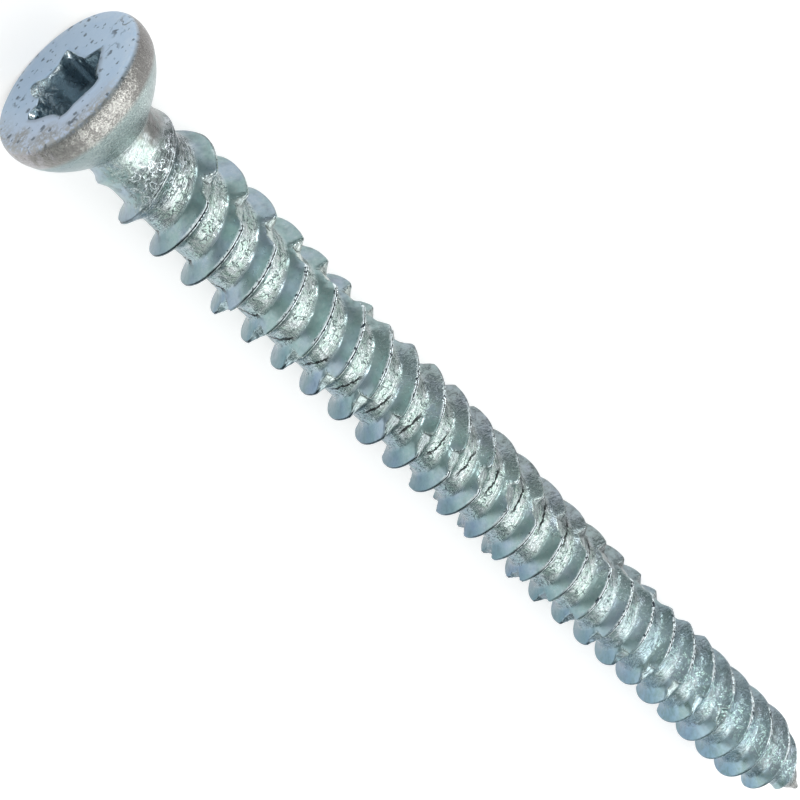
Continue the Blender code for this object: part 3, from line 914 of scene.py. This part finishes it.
def crest_marks(tree, at):
    """Return masks of the crests' bright lips, which carry a painted highlight in the lit band, and of the
    dark seam and edges of each crest, the edges with painted shade outside that band.
    """
    off_middle = at.away + (at.beads - 0.5) * 0.16
    from_edge = at.side_on + tree.table(at.s, ((60.0, 0.0), (72.0, -0.65)))
    # The lit band, where the lips get their painted highlight
    lit = tree.spread(from_edge, -0.5, -0.2) * tree.fall(at.side_on, 0.78, 0.95)
    on_crest = lit * at.crest
    lips = tree.spread(off_middle, 0.045, 0.075) * tree.fall(off_middle, 0.13, 0.17)
    lips = lips * tree.spread(at.beads, 0.36, 0.45) * on_crest
    gaps = tree.fall(off_middle, 0.11, 0.16) * tree.fall(at.beads, 0.37, 0.43)
    seam = tree.fall(off_middle, 0.035, 0.06) * tree.spread(at.beads, 0.54, 0.64, 0.9, 0.3)
    # Painted shade on the crests' edges outside the lit band
    edge = tree.spread(off_middle, 0.05, 0.12, 0.7, 0.0) * at.crest
    edge = edge * (1.0 - lit) * tree.spread(at.s, 60.0, 68.0, 1.0, 0.35)
    return lips, tree.most(tree.most(gaps, seam) * on_crest, edge)


def plating_material(finish):
    """Return the zinc plating: smooth on the flanks, rough in the roots and grainy on the head's side, with
    painted shade, highlights and glints over it.
    """
    material, tree = new_material("zinc_plating")
    at = finish_places(tree)

    # Thread: smooth flanks, rough roots, painted glints towards the point, wrinkles on the neck, worn crests
    # whose lips carry a painted highlight, and painted shade on the neck's +Y side
    root, cracked = root_finish(tree, at, finish)
    even, low = evenness(tree, at)
    # Painted glints on the band facing the light towards the point
    fleck_glints = tree.spread(at.specks, 0.54, 0.59) * tree.spread(at.s, 60.0, 70.0)
    fleck_glints = fleck_glints * tree.spread(at.side_on, -0.3, 0.0) * tree.fall(at.side_on, 0.5, 0.8) * (1.0 - low)
    wrinkles = tree.fall(abs(at.wrinkles - 0.5), 0.01, 0.026) * tree.table(at.s, NECK_WRINKLES)
    lips, seams_and_edge_shade = crest_marks(tree, at)
    width = tree.spread(at.specks, 0.35, 0.65, 0.01, 0.09)
    fold = tree.spread(width - abs(at.fold_sine), 0.0, 0.02) * at.fold
    # Painted shade, brownish, on the +Y side of the neck
    neck_side_shade = tree.table(at.uneven, ((0.25, 0.0), (0.50, 1.0), (0.80, 1.0), (1.0, 0.2)))
    thread = tree.layers(
        tree.blend(even, root, flank_finish(tree, at, finish)),
        (fleck_glints * 0.85, finish.fleck_glint),
        (wrinkles * (1.0 - even), finish.crest),
        (lips, finish.crest),
        (seams_and_edge_shade, finish.pit),
        (fold, finish.fold),
        (neck_side_shade * tree.table(at.s, NECK_SHADE), finish.rim_dark_grain_and_shade))

    # The whole: head, thread and nib, and painted shade on both sides
    colour = tree.blend(at.on_thread, head_finish(tree, at, finish), thread)
    colour = tree.blend(tree.spread(at.s, *NIB_FROM, 0.0, 0.9), colour, finish.nib)
    # Painted shade on the +Y side, which reaches further round on the neck
    upper = at.side_on + tree.table(at.s, ((4.0, 0.0), (5.5, 0.25), (7.5, 0.25), (9.5, 0.0)))
    plus_y_shade = tree.spread(upper, 0.5, 0.92) * tree.spread(at.mottle, 0.35, 0.6, 0.6, 1.0)
    plus_y_shade = plus_y_shade * tree.table(at.s, PLUS_Y_SHADE_SHARE) * tree.most(at.on_side, at.on_thread)
    # Painted shade, darker and bluer, low on the -Y side and again on the thread's lowest part
    minus_y_shade = tree.fall(at.side_on, -0.8, -0.35) * tree.table(at.s, MINUS_Y_SHADE_SHARE)
    lowest = tree.fall(at.side_on, -0.9, -0.62) * tree.table(at.s, LOWEST_SHARE)
    for share, tint in ((plus_y_shade, finish.plus_y_shade), (minus_y_shade, finish.minus_y_shade), (lowest, finish.minus_y_shade)):
        colour = tree.blend(share, colour, tint, "MULTIPLY")
    # The lips' painted highlight again, laid over the painted shade
    colour = tree.blend(lips * at.on_thread, colour, finish.crest)

    # The recess: dull, with painted shade towards its +Y side, and bright worn plating round the lower part
    # of its mouth, painted as glints
    mouth = tree.fall(at.s, 0.45, 1.1) * tree.fall(at.z, -0.4, 0.1)
    # Painted shade, darker towards the recess's +Y side
    recess_side_shade = tree.table(at.y, ((-0.4, 0.0), (1.2, 0.2), (1.9, 0.45)))
    inside = tree.blend(recess_side_shade, finish.recess, finish.pit)
    # Worn plating round the lower part of the mouth, painted as glints
    inside = tree.blend(mouth * tree.spread(at.mottle, 0.47, 0.53), inside, finish.crest)
    colour = tree.blend(at.recess, colour, inside)

    # Roughness and relief
    burrs = at.recess * mouth
    rough_root = 1.0 - even
    grained = tree.spread(at.mottle, 0.3, 0.7, -UNEVEN_ROUGHNESS, UNEVEN_ROUGHNESS)
    head_rough = tree.spread(at.on_side, 0.0, 1.0, *HEAD_ROUGHNESS) + grained
    thread_rough = tree.spread(rough_root, 0.0, 1.0, *THREAD_ROUGHNESS) + grained
    roughness = tree.mix(at.on_thread, head_rough, thread_rough) * tree.spread(burrs, 0.0, 1.0, 1.0, 0.55)
    relief = sum(getattr(at, name) * share for name, share in RELIEF_SHARES)
    relief = relief - cracked * CRACK_DEPTH - fold * FOLD_RELIEF
    relief = relief * tree.spread(rough_root, 0.0, 1.0, 0.05, 1.0) * tree.spread(burrs, 0.0, 1.0, 1.0, 1.6)
    head_relief = at.grain * tree.spread(at.on_side, 0.0, 1.0, 0.04, 0.3)
    height = tree.mix(tree.most(at.on_thread, at.recess), head_relief, relief)
    bump = tree.add("ShaderNodeBump", {"Strength": 1.0, "Distance": RELIEF, "Height": height})
    shader = {"Metallic": 1.0, "Base Color": colour, "Roughness": roughness, "Normal": bump.outputs[0]}
    tree.surface(tree.add("ShaderNodeBsdfPrincipled", shader))
    return material


def floor_material(colour):
    """Return the plain floor: white to the eye and in reflections, and still shaded by the screw."""
    material, tree = new_material("floor")
    matt = tree.add("ShaderNodeBsdfDiffuse", {"Color": (*colour, 1.0)})
    path = tree.add("ShaderNodeLightPath")
    seen = tree.most(path.outputs["Is Camera Ray"], path.outputs["Is Glossy Ray"])
    seen = tree.most(seen, path.outputs["Is Transmission Ray"])
    glow = tree.add("ShaderNodeEmission", {"Strength": seen * FLOOR_GLOW})
    tree.surface(tree.add("ShaderNodeAddShader", {0: matt.outputs[0], 1: glow.outputs[0]}))
    return material


def build_world(look):
    """Set the light from all round: dim at the horizon, and a wide softbox above the tip's end."""
    world = bpy.data.worlds.new("studio")
    bpy.context.scene.world = world
    world.use_nodes = True
    tree = Tree(world.node_tree)
    background = world.node_tree.nodes["Background"]
    x, y, z = tree.split(tree.add("ShaderNodeTexCoord").outputs["Generated"])
    around = tree.blend(tree.spread(z, 0.05, 0.60, smooth=True), look.horizon, look.sky)
    lifted = z + y * SOFTBOX_LEAN
    softbox = tree.spread(lifted, *SOFTBOX_EDGE, smooth=True)
    softbox = softbox * tree.spread(x, *SOFTBOX_SIDE, smooth=True)
    tree.feed(background.inputs["Color"], tree.blend(softbox, around, look.softbox))
    background.inputs["Strength"].default_value = 1.0


def add_lamp(name, spot, size, power):
    """Add a soft flat lamp that shines from spot to the middle of the screw."""
    lamp = bpy.data.lights.new(name, "AREA")
    lamp.shape = "RECTANGLE"
    lamp.size, lamp.size_y = size
    lamp.energy = power
    obj = bpy.data.objects.new(name, lamp)
    bpy.context.collection.objects.link(obj)
    obj.location = spot
    obj.rotation_euler = (-Vector(spot)).to_track_quat("-Z", "Y").to_euler()


def screw_direction(parts):
    """Return a direction of the row's frame from its parts along the axis, up and to the side."""
    return AXIS * parts[0] + UP * parts[1] + SIDE * parts[2]


def add_camera():
    """Add the camera of the photograph."""
    data = bpy.data.cameras.new("camera")
    data.sensor_width = 36.0
    data.lens = CAMERA_FOCUS_PX / PHOTO_SIZE_PX * data.sensor_width
    data.clip_start = 0.01
    data.clip_end = 10.0
    camera = bpy.data.objects.new("camera", data)
    bpy.context.collection.objects.link(camera)
    right, down, forward = (screw_direction(v) for v in (CAMERA_RIGHT, CAMERA_DOWN, CAMERA_FORWARD))
    turn = Matrix((right, -down, -forward)).transposed()
    camera.matrix_world = Matrix.Translation(FACE_CENTRE + screw_direction(CAMERA_SPOT)) @ turn.to_4x4()
    bpy.context.scene.camera = camera


class SCREW_OT_body(bpy.types.Operator):
    """Build the whole screw: head, recess, notched thread and point"""

    bl_idname = "screw.body"
    bl_label = "Screw body"

    def execute(self, context):
        """Build the body in the screw's own frame, place it and give it its finish."""
        scene = context.scene
        material = plating_material(scene.screw_finish)
        thread = thread_mesh(scene.screw_thread, scene.screw_head.neck_radius, material)
        bm = bmesh.new()
        bm.from_mesh(thread)
        bpy.data.meshes.remove(thread)
        rim = add_head(bm, scene.screw_head)
        add_recess(bm, rim)
        add_nib(bm)
        inside = bm.faces.layers.int["inside"]
        recess = bm.verts.layers.float.new("recess")
        for face in bm.faces:
            if face[inside]:
                for vert in face.verts:
                    if vert.co.x > RECESS_FINISH_AT:
                        vert[recess] = 1.0
        bmesh.ops.remove_doubles(bm, verts=bm.verts[:], dist=MERGE)
        bmesh.ops.dissolve_degenerate(bm, edges=bm.edges[:], dist=MERGE / 10.0)
        bmesh.ops.recalc_face_normals(bm, faces=bm.faces[:])
        mesh = bpy.data.meshes.new("screw_body")
        bm.to_mesh(mesh)
        bm.free()
        mesh.transform(PLACE)
        mesh.materials.clear()
        mesh.materials.append(material)
        for polygon in mesh.polygons:
            polygon.use_smooth = True
            polygon.material_index = 0
        body = bpy.data.objects.new("screw_body", mesh)
        context.collection.objects.link(body)
        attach(body, "root")
        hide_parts(NODE)
        return {"FINISHED"}


class SCREW_OT_stage(bpy.types.Operator):
    """Build the floor, the soft light and the camera of the photograph"""

    bl_idname = "screw.stage"
    bl_label = "Stage"

    def execute(self, context):
        """Build the stage."""
        look = context.scene.screw_stage
        mesh = bpy.data.meshes.new("floor")
        square = ((-1, -1), (1, -1), (1, 1), (-1, 1))
        corners = [(x * FLOOR_HALF, y * FLOOR_HALF, 0.0) for x, y in square]
        mesh.from_pydata(corners, [], [(0, 1, 2, 3)])
        mesh.materials.append(floor_material(look.floor))
        floor = bpy.data.objects.new("floor", mesh)
        context.collection.objects.link(floor)
        build_world(look)
        add_lamp("overhead", OVERHEAD_SPOT, OVERHEAD_SIZE, OVERHEAD_POWER)
        for spot in EDGE_SPOTS:
            add_lamp("edges", screw_direction(spot), EDGE_SIZE, EDGE_POWER)
        add_camera()
        context.scene.view_settings.view_transform = "Standard"
        return {"FINISHED"}


class SCREW_PT_panel(bpy.types.Panel):
    """Sizes, colours and steps of the screw"""

    bl_idname = "SCREW_PT_panel"
    bl_label = "Concrete screw"
    bl_space_type = "VIEW_3D"
    bl_region_type = "UI"
    bl_category = "Concrete screw"

    def draw(self, context):
        """List the sizes, the colours and the operators."""
        for group in (context.scene.screw_head, context.scene.screw_thread,
                      context.scene.screw_finish, context.scene.screw_stage):
            box = self.layout.box()
            for name in group.__annotations__:
                box.prop(group, name)
        self.layout.operator(SCREW_OT_body.bl_idname)
        self.layout.operator(SCREW_OT_stage.bl_idname)


GROUPS = (
    ("screw_head", HeadSizes),
    ("screw_thread", ThreadSizes),
    ("screw_finish", Finish),
    ("screw_stage", StageLook),
)
CLASSES = (*(group for _, group in GROUPS), SCREW_OT_body, SCREW_OT_stage, SCREW_PT_panel)


def register():
    """Register the classes and the scene's own properties."""
    for cls in CLASSES:
        bpy.utils.register_class(cls)
    for name, group in GROUPS:
        setattr(bpy.types.Scene, name, bpy.props.PointerProperty(type=group))


def unregister():
    """Remove what register added."""
    for name, _ in GROUPS:
        delattr(bpy.types.Scene, name)
    for cls in reversed(CLASSES):
        bpy.utils.unregister_class(cls)


def main():
    """Build everything."""
    register()
    bpy.ops.screw.body()
    bpy.ops.screw.stage()


if __name__ == "__main__":
    main()
